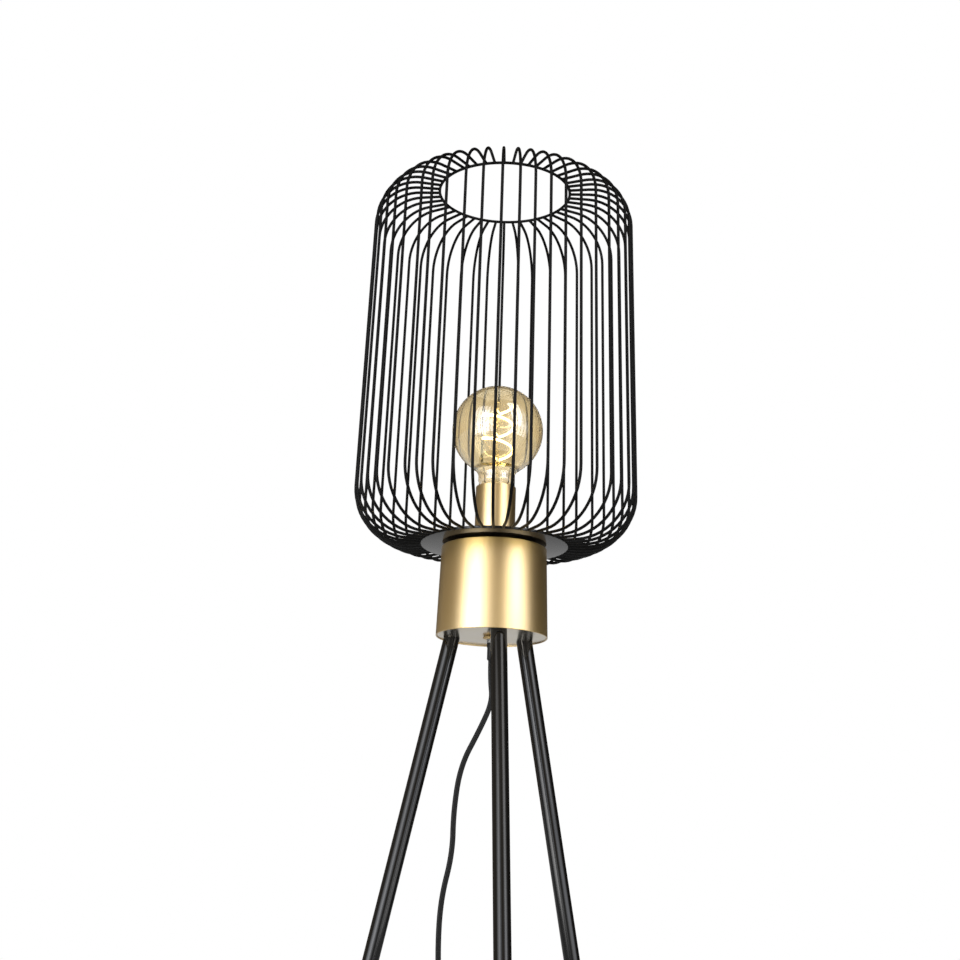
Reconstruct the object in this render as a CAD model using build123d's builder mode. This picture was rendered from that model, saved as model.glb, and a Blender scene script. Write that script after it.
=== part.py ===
from build123d import *
import os
from math import acos, atan, atan2, ceil, cos, degrees, pi, radians, sin, sqrt, tan

# Floor lamp: a wire-cage shade on a brass drum, three splayed legs, a globe bulb and a flat cord.
# Millimetres. The floor is z = 0, the lamp's axis is Z, and the front leg points to -Y.

# Legs and feet
leg_height = 985.0  # floor to the drum's lower rim
leg_top_radius = 45.5  # leg axis from the lamp's axis, level with that rim
leg_splay = 13.05  # degrees from upright
leg_diameter = 17.0
leg_wall = 1.5
leg_names = ("front", "right", "left")
first_leg = -90.0  # degrees, the front leg's direction
plug_length = 30.0
stud_diameter = 8.0
stud_reach = 18.0
bush_across_flats = 14.0
foot_wall = 2.0
foot_floor = 3.0
foot_length = 24.0

# Drum
drum_height = 95.6
drum_low_radius = 58.9
drum_top_radius = 56.1
drum_wall = 1.5
base_thickness = 3.0
base_recess = 0.8

# Shade
plate_radius = 79.0
plate_thickness = 3.0
wire_count = 48
wire_diameter = 3.2
weld_gap = 0.15  # between a wire's end and the ring or the plate
first_wire = -86.0  # degrees, the wire that is first to the right of the front leg
cage_height = 413.2  # plate to ring, on the wires' centre lines
cage_low_radius = 152.0  # where the wires' straight sides would meet the plate's level
cage_top_radius = 143.7  # and the ring's level
cage_low_bend = 55.5
cage_top_bend = 48.0
bend_chords = 4
ring_radius = 74.3
wire_shifts = (  # degrees that each wire stands off its even place, counter-clockwise
    (-0.3, -1.0, -1.7, -1.6, -0.9, 0.3, 0.4, 0.9, 0, 0, 0, 0)
    + (0, 0, 0, -0.4, -0.5, 1.0, 0.1, 0.5, 2.3, 1.6, 1.7, 1.7)
    + (1.1, -0.1, -0.3, -0.1, -0.2, -0.1, 1.0, 0, 0, 0, 0, 0)
    + (0, 0, 0, 0, 0.2, 1.8, -0.2, -0.5, 0.4, 0.3, 0.8, 0.7)
)

# Tie tube, its nuts and the cord grip
tube_diameter = 10.0
tube_bore = 8.0
tube_end_below = 4.0  # tube below the nut under the base plate
tube_in_holder = 9.0
nut_across_flats = 16.0
nut_thickness = 3.0
grip_length = 18.0
grip_radius = 4.7
grip_spigot = 6.0
grip_edge = 1.2

# Lamp holder
sleeve_radius = 21.6
sleeve_height = 62.0
sleeve_wall = 1.2
sleeve_floor = 1.5
holder_radius = 19.5
holder_below_rim = 4.5
shell_length = 20.0
shell_wall = 0.7
contact_width = 5.0
contact_sheet = 0.6
contact_height = 3.4
contact_foot_end = 7.0
contact_foot_start = 3.0
contact_crown = 1.8

# Bulb
globe_diameter = 99.0
globe_above_tip = 92.1  # globe's centre above the contact tip
glass_wall = 1.0
globe_bands = 9
globe_gores = 24
neck_radius = 19.5
neck_rise = 5.8
collar_length = 5.0
tip_below_rim = 27.8  # contact tip under the sleeve's rim
tip_height = 2.2
tip_radius = 4.5
cap_radius = 13.1
cap_wall = 0.6
cap_height = 27.0  # contact tip to the cap's upper edge
insulator_height = 6.3
stem_radius = 2.2
stem_foot_radius = 6.6
stem_foot_height = 18.0
flare_height = 1.5
stem_top = 125.5  # above the contact tip
filament_radius = 16.6
filament_low = 63.0
filament_rise = 60.2
filament_turns = 2.25
filament_steps = 8
filament_section = (1.2, 3.0)
support_side = 0.8

# Cord, its coil and its tie
cord_width = 5.6
cord_thickness = 3.6
coil_centre = (132.0, 62.0)
coil_inner_radius = 24.5
coil_gap = 0.6
coil_turns = 2.25
coil_reversal = 1.25  # turns to the middle of the climb
coil_tail = 55.0
tie_thickness = 0.8
tie_width = 6.0
tie_slack = 0.8

# Foot switch
switch_centre = (52.0, 150.0)
switch_length = 70.0
switch_width = 36.0
switch_corner = 9.0
switch_parting = 8.0
switch_height = 21.0
switch_wall = 2.0
switch_edge = 3.0
button_length = 28.0
button_width = 20.0
button_proud = 5.0
button_flange = 2.0
button_edge = 1.5
relief_length = 22.0
relief_root = 10.0
relief_tip = 7.0
relief_height = 7.0

# Plug
pin_radius = 2.0
pin_length = 19.0
pin_spread = 18.6
plug_body_length = 34.0
plug_width = 27.0
plug_thickness = 14.0
plug_shoulder = 13.0
plug_edge = 2.0

# Clearances
slip = 0.1  # pieces that are pushed together
running = 0.3  # pieces that move past each other
hidden_sides = 24  # flats on round pieces that the sleeve and the drum hide

# Levels up the lamp's axis
base_z = leg_height + base_recess
base_top = base_z + base_thickness
drum_top = leg_height + drum_height
plate_z = drum_top + nut_thickness
plate_top = plate_z + plate_thickness
cage_low_z = plate_z + plate_thickness / 2
ring_z = cage_low_z + cage_height
sleeve_top = plate_top + sleeve_height
upper_nut_z = plate_top + sleeve_floor
holder_z = upper_nut_z + nut_thickness
holder_top = sleeve_top - holder_below_rim
tip_z = sleeve_top - tip_below_rim
cap_top = tip_z + cap_height
globe_z = tip_z + globe_above_tip
pocket_z = tip_z - running - contact_height
tube_low = base_z - nut_thickness - tube_end_below
tube_top = holder_z + tube_in_holder
grip_low = tube_low - grip_length

# Sizes that follow from those above
hole_radius = tube_diameter / 2 + slip
wire_side = wire_diameter * sqrt(pi) / 2  # square bar of the round wire's area
ring_width = wire_diameter * pi / 4  # bar of that area and the round wire's height
first_corner = first_wire + 180 / wire_count  # the ring's and the plate's corners lie between wires
shell_radius = cap_radius + running + shell_wall
cord_pitch = cord_width + coil_gap
splay = radians(leg_splay)
foot_radius = leg_top_radius + leg_height * tan(splay)
leg_axis = (-sin(splay), 0, cos(splay))
leg_plane = Plane(origin=(leg_top_radius, 0, leg_height), x_dir=(0, 1, 0), z_dir=leg_axis)
foot_plane = Plane(origin=(foot_radius, 0, 0), x_dir=(0, 1, 0), z_dir=leg_axis)
leg_count = len(leg_names)
pieces = {}


def turned(outline, flats):
    """A round piece: half of its section, as (radius, height), repeated round Z in flats."""
    half_width = max(radius for radius, height in outline) * tan(pi / flats) + 1
    with BuildPart() as gore:
        with BuildSketch(Plane.XZ):
            with BuildLine():
                Polyline(*outline, close=True)
            make_face()
        extrude(amount=half_width, both=True)
        split(bisect_by=Plane.XZ.rotated((0, 0, 180 / flats)), keep=Keep.TOP)
        split(bisect_by=Plane.XZ.rotated((0, 0, -180 / flats)), keep=Keep.BOTTOM)
    with BuildPart() as whole:
        with PolarLocations(0, flats, start_angle=first_leg + 180 / flats):
            add(gore.part)
    return whole


# Legs: tubes cut level with the base plate and with the floor of their rubber caps
with BuildPart() as leg_blank:
    with BuildSketch(leg_plane):
        Circle(leg_diameter / 2)
        Circle(leg_diameter / 2 - leg_wall, mode=Mode.SUBTRACT)
    extrude(amount=leg_height / cos(splay) + foot_length, both=True)
    split(bisect_by=Plane.XY.offset(base_z), keep=Keep.BOTTOM)
    split(bisect_by=Plane.XY.offset(foot_floor), keep=Keep.TOP)

for number, leg_name in enumerate(leg_names):
    with BuildPart() as leg:
        add(leg_blank.part, rotation=(0, 0, first_leg + 360 * number / leg_count))
    pieces["leg_" + leg_name] = leg

# Threaded studs on plugs that are pressed into the leg tops
with BuildPart() as stud:
    with BuildSketch(leg_plane):
        RegularPolygon(leg_diameter / 2 - leg_wall - slip, hidden_sides // 2)
    extrude(amount=plug_length, both=True)
    split(bisect_by=Plane.XY.offset(base_z), keep=Keep.BOTTOM)
    with BuildSketch(leg_plane):
        RegularPolygon(stud_diameter / 2, hidden_sides // 2)
    extrude(amount=stud_reach)

with BuildPart() as leg_studs:
    with PolarLocations(0, leg_count, start_angle=first_leg):
        add(stud.part)
pieces["leg_studs"] = leg_studs

# Threaded bushes welded to the base plate, in line with the legs
with BuildPart() as bush:
    with BuildSketch(leg_plane):
        RegularPolygon(bush_across_flats / 2, 6, major_radius=False)
        RegularPolygon(stud_diameter / 2 + slip, hidden_sides // 2, mode=Mode.SUBTRACT)
    extrude(amount=stud_reach)
    split(bisect_by=Plane.XY.offset(base_top), keep=Keep.TOP)

with BuildPart() as leg_bushes:
    with PolarLocations(0, leg_count, start_angle=first_leg):
        add(bush.part)
pieces["leg_bushes"] = leg_bushes

# Rubber caps with a level sole
with BuildPart() as foot_bore:
    with BuildSketch(foot_plane):
        Circle(leg_diameter / 2 + slip)
    extrude(amount=2 * foot_length)
    split(bisect_by=Plane.XY.offset(foot_floor), keep=Keep.TOP)

with BuildPart() as foot:
    with BuildSketch(foot_plane):
        Circle(leg_diameter / 2 + foot_wall)
    extrude(amount=foot_length, both=True)
    split(bisect_by=Plane.XY, keep=Keep.TOP)
    add(foot_bore.part, mode=Mode.SUBTRACT)

with BuildPart() as foot_caps:
    with PolarLocations(0, leg_count, start_angle=first_leg):
        add(foot.part)
pieces["foot_caps"] = foot_caps

# Drum: turned with a tapered side, a bore and a rebate, where the base plate meets a shoulder
drum_bore = drum_top_radius - drum_wall
rebate_radius = drum_low_radius - drum_wall
drum_outline = [
    (drum_low_radius, leg_height),
    (drum_top_radius, drum_top),
    (hole_radius, drum_top),
    (hole_radius, drum_top - drum_wall),
    (drum_bore, drum_top - drum_wall),
    (drum_bore, base_top),
    (rebate_radius, base_top),
    (rebate_radius, leg_height),
]
drum_shell = turned(drum_outline, wire_count)
pieces["drum_shell"] = drum_shell

with BuildPart() as stud_bore:
    with BuildSketch(leg_plane):
        RegularPolygon(stud_diameter / 2 + slip, hidden_sides // 2)
    extrude(amount=stud_reach, both=True)

with BuildPart() as drum_base_plate:
    with BuildSketch(Plane.XY.offset(base_z)):
        RegularPolygon(rebate_radius - slip, wire_count, False, rotation=first_leg)
        Circle(hole_radius, mode=Mode.SUBTRACT)
    extrude(amount=base_thickness)
    with PolarLocations(0, leg_count, start_angle=first_leg):
        add(stud_bore.part, mode=Mode.SUBTRACT)
pieces["drum_base_plate"] = drum_base_plate

# Tie tube through the whole stack, with a nut at each end and one between drum and shade
with BuildPart() as tie_tube:
    with BuildSketch(Plane.XY.offset(tube_low)):
        Circle(tube_diameter / 2)
        Circle(tube_bore / 2, mode=Mode.SUBTRACT)
    extrude(amount=tube_top - tube_low)
pieces["tie_tube"] = tie_tube

with BuildPart() as tie_nuts:
    for nut_z in (base_z - nut_thickness, drum_top, upper_nut_z):
        with BuildSketch(Plane.XY.offset(nut_z)):
            RegularPolygon(nut_across_flats / 2, 6, major_radius=False)
            RegularPolygon(hole_radius, hidden_sides, False, mode=Mode.SUBTRACT)
        extrude(amount=nut_thickness)
pieces["tie_nuts"] = tie_nuts

# Cord grip: a bush with a spigot in the tube's end and a slot for the flat cord
with BuildPart() as cord_grip:
    with BuildSketch(Plane.XY.offset(grip_low)):
        Circle(grip_radius)
    extrude(amount=grip_length)
    chamfer(cord_grip.edges().group_by(Axis.Z)[0], grip_edge)
    with BuildSketch(Plane.XY.offset(tube_low)):
        Circle(tube_bore / 2 - slip)
    extrude(amount=grip_spigot)
    with BuildSketch(Plane.XY.offset(grip_low)):
        Rectangle(cord_width + 2 * slip, cord_thickness + 2 * slip)
    extrude(amount=grip_length + grip_spigot, mode=Mode.SUBTRACT)
pieces["cord_grip"] = cord_grip

# Shade plate and top ring
with BuildPart() as shade_plate:
    with BuildSketch(Plane.XY.offset(plate_z)):
        RegularPolygon(plate_radius, wire_count, False, rotation=first_corner)
        Circle(hole_radius, mode=Mode.SUBTRACT)
    extrude(amount=plate_thickness)
pieces["shade_plate"] = shade_plate

with BuildPart() as shade_top_ring:
    with BuildSketch(Plane.XY.offset(ring_z - wire_diameter / 2)):
        RegularPolygon(ring_radius + ring_width / 2, wire_count, False, rotation=first_corner)
        RegularPolygon(ring_radius - ring_width / 2, wire_count, False, rotation=first_corner, mode=Mode.SUBTRACT)
    extrude(amount=wire_diameter)
pieces["shade_top_ring"] = shade_top_ring


def bend(before, corner, after, radius):
    """Points along the arc that rounds a corner, both ends included."""
    arriving = (corner - before).normalized()
    leaving = (after - corner).normalized()
    turn = radians(arriving.get_angle(leaving))
    inward = (leaving - arriving * arriving.dot(leaving)).normalized()
    centre = corner - arriving * (radius * tan(turn / 2)) + inward * radius
    angles = [turn * step / bend_chords for step in range(bend_chords + 1)]
    return [centre + (arriving * sin(a) - inward * cos(a)) * radius for a in angles]


def room_for(radius, run, turn):
    """A bend's radius, as far as the level run beside it leaves room."""
    return min(radius, 0.95 * run / tan(turn / 2))


def cage_edge(outset):
    """One edge of a cage wire, ring to plate, as (radius, height), set outwards from the centre line."""
    lean = (cage_low_radius - cage_top_radius) / cage_height
    side_shift = outset * sqrt(1 + lean**2)
    top_radius = room_for(cage_top_bend, cage_top_radius - ring_radius - wire_side / 2, pi / 2 - atan(lean))
    low_radius = room_for(cage_low_bend, cage_low_radius - plate_radius, pi / 2 + atan(lean))
    ring_end = Vector(ring_radius + ring_width / 2 + weld_gap, ring_z + outset)
    top_corner = Vector(cage_top_radius - outset * lean + side_shift, ring_z + outset)
    low_corner = Vector(cage_low_radius + outset * lean + side_shift, cage_low_z - outset)
    plate_end = Vector(plate_radius + weld_gap, cage_low_z - outset)
    top_bend = bend(ring_end, top_corner, low_corner, top_radius + outset)
    low_bend = bend(top_corner, low_corner, plate_end, low_radius + outset)
    return [(p.X, p.Y) for p in (ring_end, *top_bend, *low_bend, plate_end)]


# Cage wires: each bends over from the ring, runs down the side and bends in to the plate's rim
with BuildPart() as cage_wire:
    with BuildSketch(Plane.XZ):
        with BuildLine():
            Polyline(*cage_edge(wire_side / 2), *reversed(cage_edge(-wire_side / 2)), close=True)
        make_face()
    extrude(amount=wire_side / 2, both=True)

with BuildPart() as shade_wires:
    for number in range(wire_count):
        even_place = first_wire + 360 * number / wire_count
        add(cage_wire.part, rotation=(0, 0, even_place + wire_shifts[number % len(wire_shifts)]))
pieces["shade_wires"] = shade_wires

# Lamp holder: sleeve, insulating body, threaded shell and centre contact
sleeve_outline = [
    (hole_radius, plate_top),
    (sleeve_radius, plate_top),
    (sleeve_radius, sleeve_top),
    (sleeve_radius - sleeve_wall, sleeve_top),
    (sleeve_radius - sleeve_wall, upper_nut_z),
    (hole_radius, upper_nut_z),
]
holder_sleeve = turned(sleeve_outline, wire_count)
pieces["holder_sleeve"] = holder_sleeve

with BuildPart() as holder_body:
    with BuildSketch(Plane.XY.offset(holder_z)):
        RegularPolygon(holder_radius, hidden_sides, False)
        Circle(hole_radius, mode=Mode.SUBTRACT)
    extrude(amount=holder_top - holder_z)
    with BuildSketch(Plane.XY.offset(pocket_z)):
        RegularPolygon(shell_radius + slip, hidden_sides, False)
    extrude(amount=holder_top - pocket_z, mode=Mode.SUBTRACT)
pieces["holder_body"] = holder_body

with BuildPart() as holder_thread_shell:
    with BuildSketch(Plane.XY.offset(pocket_z)):
        RegularPolygon(shell_radius, hidden_sides, False)
        RegularPolygon(shell_radius - shell_wall, hidden_sides, False, mode=Mode.SUBTRACT)
    extrude(amount=shell_length)
pieces["holder_thread_shell"] = holder_thread_shell

contact_top = pocket_z + contact_height
foot_top = pocket_z + contact_sheet
crown_under = contact_top - contact_sheet
contact_side = [  # from the crown's middle outwards and back
    (0, crown_under),
    (contact_crown, crown_under),
    (contact_foot_start, pocket_z),
    (contact_foot_end, pocket_z),
    (contact_foot_end, foot_top),
    (contact_foot_start + contact_sheet, foot_top),
    (contact_crown + contact_sheet, contact_top),
    (0, contact_top),
]
with BuildPart() as holder_contact:
    with BuildSketch(Plane.XZ):
        with BuildLine():
            Polyline(*contact_side, close=True)
        make_face()
        mirror(about=Plane.YZ)
    extrude(amount=contact_width / 2, both=True)
pieces["holder_contact"] = holder_contact

# Bulb: contact tip, insulator, screw cap, glass, stem, filament and its two supports
with BuildPart() as bulb_contact_tip:
    with BuildSketch(Plane.XY.offset(tip_z)):
        RegularPolygon(tip_radius, hidden_sides, False)
    extrude(amount=tip_height)
pieces["bulb_contact_tip"] = bulb_contact_tip

cap_bore = cap_radius - cap_wall
cap_low = tip_z + tip_height
with BuildPart() as bulb_insulator:
    with BuildSketch(Plane.XY.offset(cap_low)):
        RegularPolygon(cap_bore - slip, hidden_sides, False)
    extrude(amount=insulator_height)
pieces["bulb_insulator"] = bulb_insulator

with BuildPart() as bulb_cap:
    with BuildSketch(Plane.XY.offset(cap_low)):
        RegularPolygon(cap_radius, hidden_sides, False)
        RegularPolygon(cap_bore, hidden_sides, False, mode=Mode.SUBTRACT)
    extrude(amount=cap_top - cap_low)
pieces["bulb_cap"] = bulb_cap


def glass_side(outset):
    """One side of the glass, from inside the cap up to the pole, as (radius, height)."""
    radius = globe_diameter / 2 + outset
    neck = neck_radius + outset
    collar = cap_bore - slip + outset
    low = -acos(neck / radius)
    rises = [low + (pi / 2 - low) * band / globe_bands for band in range(globe_bands)]
    globe = [(radius * cos(rise), globe_z + radius * sin(rise)) for rise in rises]
    throat = [(collar, collar_z), (collar, cap_top), (neck, cap_top + neck_rise)]
    return throat + globe + [(0, globe_z + radius)]


collar_z = cap_top - collar_length
bulb_glass = turned(glass_side(0) + glass_side(-glass_wall)[::-1], globe_gores)
pieces["bulb_glass"] = bulb_glass

flare_radius = cap_bore - glass_wall - 3 * slip
with BuildPart() as bulb_stem:
    with BuildSketch(Plane.XY.offset(collar_z)):
        RegularPolygon(flare_radius, hidden_sides, False)
    extrude(amount=flare_height)
    with BuildSketch(Plane.XY.offset(collar_z + flare_height)):
        RegularPolygon(stem_foot_radius, hidden_sides // 2, False)
    foot_taper = degrees(atan2(stem_foot_radius - stem_radius, stem_foot_height))
    extrude(amount=stem_foot_height, taper=foot_taper)
    with BuildSketch(Plane.XY.offset(collar_z)):
        RegularPolygon(stem_radius, hidden_sides // 2, False)
    extrude(amount=tip_z + stem_top - collar_z)
pieces["bulb_stem"] = bulb_stem


filament_z = tip_z + filament_low
filament_count = round(filament_turns * filament_steps)
low_way = Vector(1, 0, 0).rotate(Axis.Z, 360 * filament_count / filament_steps)
with BuildPart() as bulb_filament:
    with BuildLine() as filament_path:
        filament_points = []
        for step in range(filament_count + 1):
            angle = 2 * pi * (filament_count - step) / filament_steps
            height = filament_z + filament_rise * step / filament_count
            filament_points.append((filament_radius * cos(angle), filament_radius * sin(angle), height))
        Polyline(*filament_points)
    with BuildSketch(Plane(filament_path.line @ 0, x_dir=low_way, z_dir=filament_path.line % 0)):
        Rectangle(*filament_section)
    sweep(transition=Transition.RIGHT)
pieces["bulb_filament"] = bulb_filament

support_start = stem_radius + slip
support_length = filament_radius - filament_section[0] - support_start
with BuildPart() as filament_supports:
    for support_z, way in ((filament_z, low_way), (filament_z + filament_rise, Vector(1, 0, 0))):
        with BuildSketch(Plane(origin=way * support_start + Vector(0, 0, support_z), z_dir=way)):
            Rectangle(support_side, support_side)
        extrude(amount=support_length)
pieces["filament_supports"] = filament_supports

# Foot switch: two shells, a push pad and a tapered relief at each end
switch_x, switch_y = switch_centre
cover_under = switch_height - switch_wall
flange_top = cover_under - running
button_low = flange_top - button_flange
button_top = switch_height + button_proud


def chamfered_box(plane, length, width, corner):
    """A box's plan with its corners cut off, for the block that calls it."""
    with BuildSketch(plane) as plan:
        Rectangle(length, width)
        chamfer(plan.vertices(), corner)
    return plan.sketch


inner_length = switch_length - 2 * switch_wall
inner_width = switch_width - 2 * switch_wall
with BuildPart() as switch_base:
    base_plane = Plane((switch_x, switch_y, 0))
    extrude(chamfered_box(base_plane, switch_length, switch_width, switch_corner), amount=switch_parting)
    hollow = chamfered_box(base_plane.offset(switch_wall), inner_length, inner_width, switch_corner)
    extrude(hollow, amount=switch_parting, mode=Mode.SUBTRACT)
pieces["switch_base"] = switch_base

with BuildPart() as switch_cover:
    cover_plane = Plane((switch_x, switch_y, switch_parting))
    cover_height = switch_height - switch_parting
    extrude(chamfered_box(cover_plane, switch_length, switch_width, switch_corner), amount=cover_height)
    chamfer(switch_cover.edges().group_by(Axis.Z)[-1], switch_edge)
    cavity = chamfered_box(cover_plane, inner_length, inner_width, switch_corner)
    extrude(cavity, amount=cover_height - switch_wall, mode=Mode.SUBTRACT)
    with BuildSketch(cover_plane):
        Rectangle(button_length + 2 * running, button_width + 2 * running)
    extrude(amount=switch_height, mode=Mode.SUBTRACT)
pieces["switch_cover"] = switch_cover

with BuildPart() as switch_button:
    with BuildSketch(Plane((switch_x, switch_y, button_low))):
        Rectangle(button_length, button_width)
    extrude(amount=button_top - button_low)
    chamfer(switch_button.edges().group_by(Axis.Z)[-1], button_edge)
    with BuildSketch(Plane((switch_x, switch_y, button_low))):
        Rectangle(button_length + 2 * button_flange, button_width + 2 * button_flange)
    extrude(amount=button_flange)
pieces["switch_button"] = switch_button


def relief_plan(root_x, tip_x):
    """The corners of a relief that narrows from its root to the cord, seen from above."""
    root, tip = relief_root / 2, relief_tip / 2
    return [(root_x, -root), (root_x, root), (tip_x, tip), (tip_x, -tip)]


with BuildPart() as switch_reliefs:
    with BuildSketch(Plane((switch_x, switch_y, switch_parting))):
        for end in (-1, 1):
            root_x = end * switch_length / 2
            Polygon(*relief_plan(root_x, root_x + end * relief_length), align=None)
    extrude(amount=relief_height / 2, both=True)
pieces["switch_reliefs"] = switch_reliefs


def coil_radius(turn):
    """The coil's radius: in at a steady rate, a rounded reversal over half a turn, and out again."""
    away = abs(turn - coil_reversal)
    if away < 0.25:
        away = 2 * away**2 + 0.125
    return coil_inner_radius + cord_pitch * away


def coil_level(turn):
    """The coil's height: the lower layer, a climb in the half turn of the reversal, the upper layer."""
    share = min(max((turn - coil_reversal) / 0.5 + 0.5, 0), 1)
    return coil_low_z + cord_pitch * share**2 * (3 - 2 * share)


def coil_point(turn):
    """A point on the coil's centre line. The turns run clockwise seen from above, from the +X side."""
    angle = -2 * pi * turn
    across = coil_radius(turn)
    x = coil_centre[0] + across * cos(angle)
    y = coil_centre[1] + across * sin(angle)
    return Vector(x, y, coil_level(turn))


def biarc(start, start_way, finish, finish_way):
    """Two arcs that join smoothly between two points and the directions there."""
    across = finish - start
    ways = start_way + finish_way
    bend_share = 2 * (1 - start_way.dot(finish_way))
    along = across.dot(ways)
    if bend_share < 1e-9:
        reach = across.dot(across) / (4 * across.dot(finish_way))
    else:
        reach = (sqrt(along**2 + bend_share * across.dot(across)) - along) / bend_share
    first = start + start_way * reach
    second = finish - finish_way * reach
    middle = (first + second) * 0.5
    TangentArc(start, middle, tangent=start_way)
    TangentArc(middle, finish, tangent=second - first)


# The coil of spare cord: one tube that spirals in, climbs a layer and spirals out to the plug
coil_low_z = tie_thickness + slip + cord_width / 2
coil_start = coil_point(0)
coil_end = coil_point(coil_turns)
plug_z = plug_thickness / 2
plug_start = Vector(coil_end.X - coil_tail - cord_width, coil_end.Y, plug_z)
small_step = 1e-4
with BuildPart() as cord_coil:
    with BuildLine() as coil_path:
        Line(coil_start + Vector(0, cord_width, 0), coil_start)
        turn = 0.0
        way = Vector(0, -1, 0)
        while turn < coil_turns:
            next_turn = turn + 0.25
            if next_turn < coil_turns:
                next_way = coil_point(next_turn + small_step) - coil_point(next_turn - small_step)
                next_way = next_way.normalized()
            else:
                next_way = Vector(-1, 0, 0)
            biarc(coil_point(turn), way, coil_point(next_turn), next_way)
            turn, way = next_turn, next_way
        tail_end = plug_start + Vector(cord_width, 0, 0)
        biarc(coil_end, way, tail_end, way)
        Line(tail_end, plug_start)
    with BuildSketch(Plane(origin=coil_path.line @ 0, x_dir=(1, 0, 0), z_dir=coil_path.line % 0)):
        Rectangle(cord_width, cord_thickness)
    sweep()
pieces["cord_coil"] = cord_coil

# A hook-and-loop tie round the coil, on the side away from its start
tied_radii = [coil_radius(turn) for turn in (0.5, 1.5)]
tied_side = cord_width / 2 + tie_slack
tie_inside = (min(tied_radii) - tied_side, max(tied_radii) + tied_side)
tie_top = coil_low_z + cord_pitch + cord_width / 2 + running
tie_centre = coil_centre[0] - sum(tie_inside) / 2
tie_spot = (tie_centre, coil_centre[1], (tie_thickness + tie_top) / 2)
tie_plane = Plane(origin=tie_spot, x_dir=(1, 0, 0), z_dir=(0, -1, 0))
with BuildPart() as coil_tie:
    with BuildSketch(tie_plane):
        opening = (tie_inside[1] - tie_inside[0], tie_top - tie_thickness)
        Rectangle(opening[0] + 2 * tie_thickness, opening[1] + 2 * tie_thickness)
        Rectangle(*opening, mode=Mode.SUBTRACT)
    extrude(amount=tie_width / 2, both=True)
pieces["coil_tie"] = coil_tie

# Two-pin plug with a moulded strain relief, lying flat
plug_root_x = plug_start.X - relief_length
plug_face_x = plug_root_x - plug_body_length
with BuildPart() as plug_body:
    with BuildSketch(Plane((0, plug_start.Y, plug_z - plug_thickness / 2))):
        with BuildLine():
            Polyline(
                (plug_root_x, -relief_root / 2),
                (plug_root_x, relief_root / 2),
                (plug_root_x - plug_shoulder, plug_width / 2),
                (plug_face_x, plug_width / 2),
                (plug_face_x, -plug_width / 2),
                (plug_root_x - plug_shoulder, -plug_width / 2),
                close=True,
            )
        make_face()
    extrude(amount=plug_thickness)
    chamfer(plug_body.edges().group_by(Axis.Z)[-1], plug_edge)
    with BuildSketch(Plane((0, plug_start.Y, plug_z))):
        Polygon(*relief_plan(plug_root_x, plug_start.X), align=None)
    extrude(amount=relief_height / 2, both=True)
pieces["plug_body"] = plug_body

with BuildPart() as plug_pins:
    plug_face = (plug_face_x, plug_start.Y, plug_z)
    with BuildSketch(Plane(origin=plug_face, x_dir=(0, 1, 0), z_dir=(-1, 0, 0))):
        with GridLocations(pin_spread, 0, 2, 1):
            Circle(pin_radius)
    extrude(amount=pin_length)
pieces["plug_pins"] = plug_pins


def cord_tube(name, points, flat_way):
    """A cord's free stretch: straight runs joined by arcs as large as the runs allow."""
    points = [Vector(*p) for p in points]
    radii = []
    for before, corner, after in zip(points, points[1:], points[2:]):
        half_turn = radians((corner - before).get_angle(after - corner)) / 2
        shorter = min((corner - before).length, (after - corner).length)
        radii.append(0.45 * shorter / tan(half_turn))
    with BuildPart() as tube:
        with BuildLine() as path:
            FilletPolyline(*points, radius=radii)
        with BuildSketch(Plane(origin=path.line @ 0, x_dir=flat_way, z_dir=path.line % 0)) as section:
            Rectangle(cord_width, cord_thickness)
        sweep()
    expected = section.sketch.area * path.wire().length
    print(name, "radii", [round(r) for r in radii])
    print(name, "length", round(path.wire().length), "volume share", round(tube.part.volume / expected, 4))
    return tube


# The cord from the grip down to the floor and along it to the foot switch
switch_entry = (switch_x - switch_length / 2 - relief_length, switch_y, switch_parting)
switch_exit = (switch_x + switch_length / 2 + relief_length, switch_y, switch_parting)
hanging = [  # x, y and drop below the grip
    (0, 0, 0),
    (0, 0, 19.8),
    (3.0, -0.5, 42.8),
    (-9.4, 1.5, 72.8),
    (-27.6, 4.4, 109.8),
    (-33.1, 5.3, 155.8),
    (-32.6, 5.2, 197.8),
    (-42.5, 6.8, 241.8),
    (-43.9, 7.0, 287.8),
    (-40.5, 6.5, 339.8),
    (-38.5, 8.0, 395.8),
    (-42.0, 10.5, 452.8),
]
landing = [  # x, y and height above the floor
    (-50.0, 12.5, 451.0),
    (-56.0, 12.0, 394.0),
    (-57.0, 10.0, 337.0),
    (-54.0, 9.5, 280.0),
    (-54.5, 11.0, 225.0),
    (-59.0, 13.5, 174.0),
    (-63.0, 15.0, 132.0),
    (-64.5, 15.5, 97.0),
    (-65.0, 17.0, 66.0),
    (-65.5, 29.0, 38.5),
    (-66.5, 50.5, 17.5),
    (-67.0, 78.0, 5.2),
    (-65.0, 107.0, 2.8),
    (-61.0, 128.0, 2.8),
    (-48.0, 144.0, 4.2),
    (-26.0, 150.0, 8.0),
]
drop_points = [(x, y, grip_low - drop) for x, y, drop in hanging] + landing + [switch_entry]
pieces["cord_drop"] = cord_tube("cord_drop", drop_points, (1, 0, 0))

link_points = [
    switch_exit,
    (127.0, 150.0, 8.0),
    (146.0, 144.5, 5.6),
    (159.0, 130.0, 4.2),
    (163.0, 110.0, 3.8),
    tuple(coil_start + Vector(0, 4.5 * cord_width, 0)),
    tuple(coil_start + Vector(0, cord_width, 0)),
]
pieces["cord_link"] = cord_tube("cord_link", link_points, (0, 1, 0))

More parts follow.
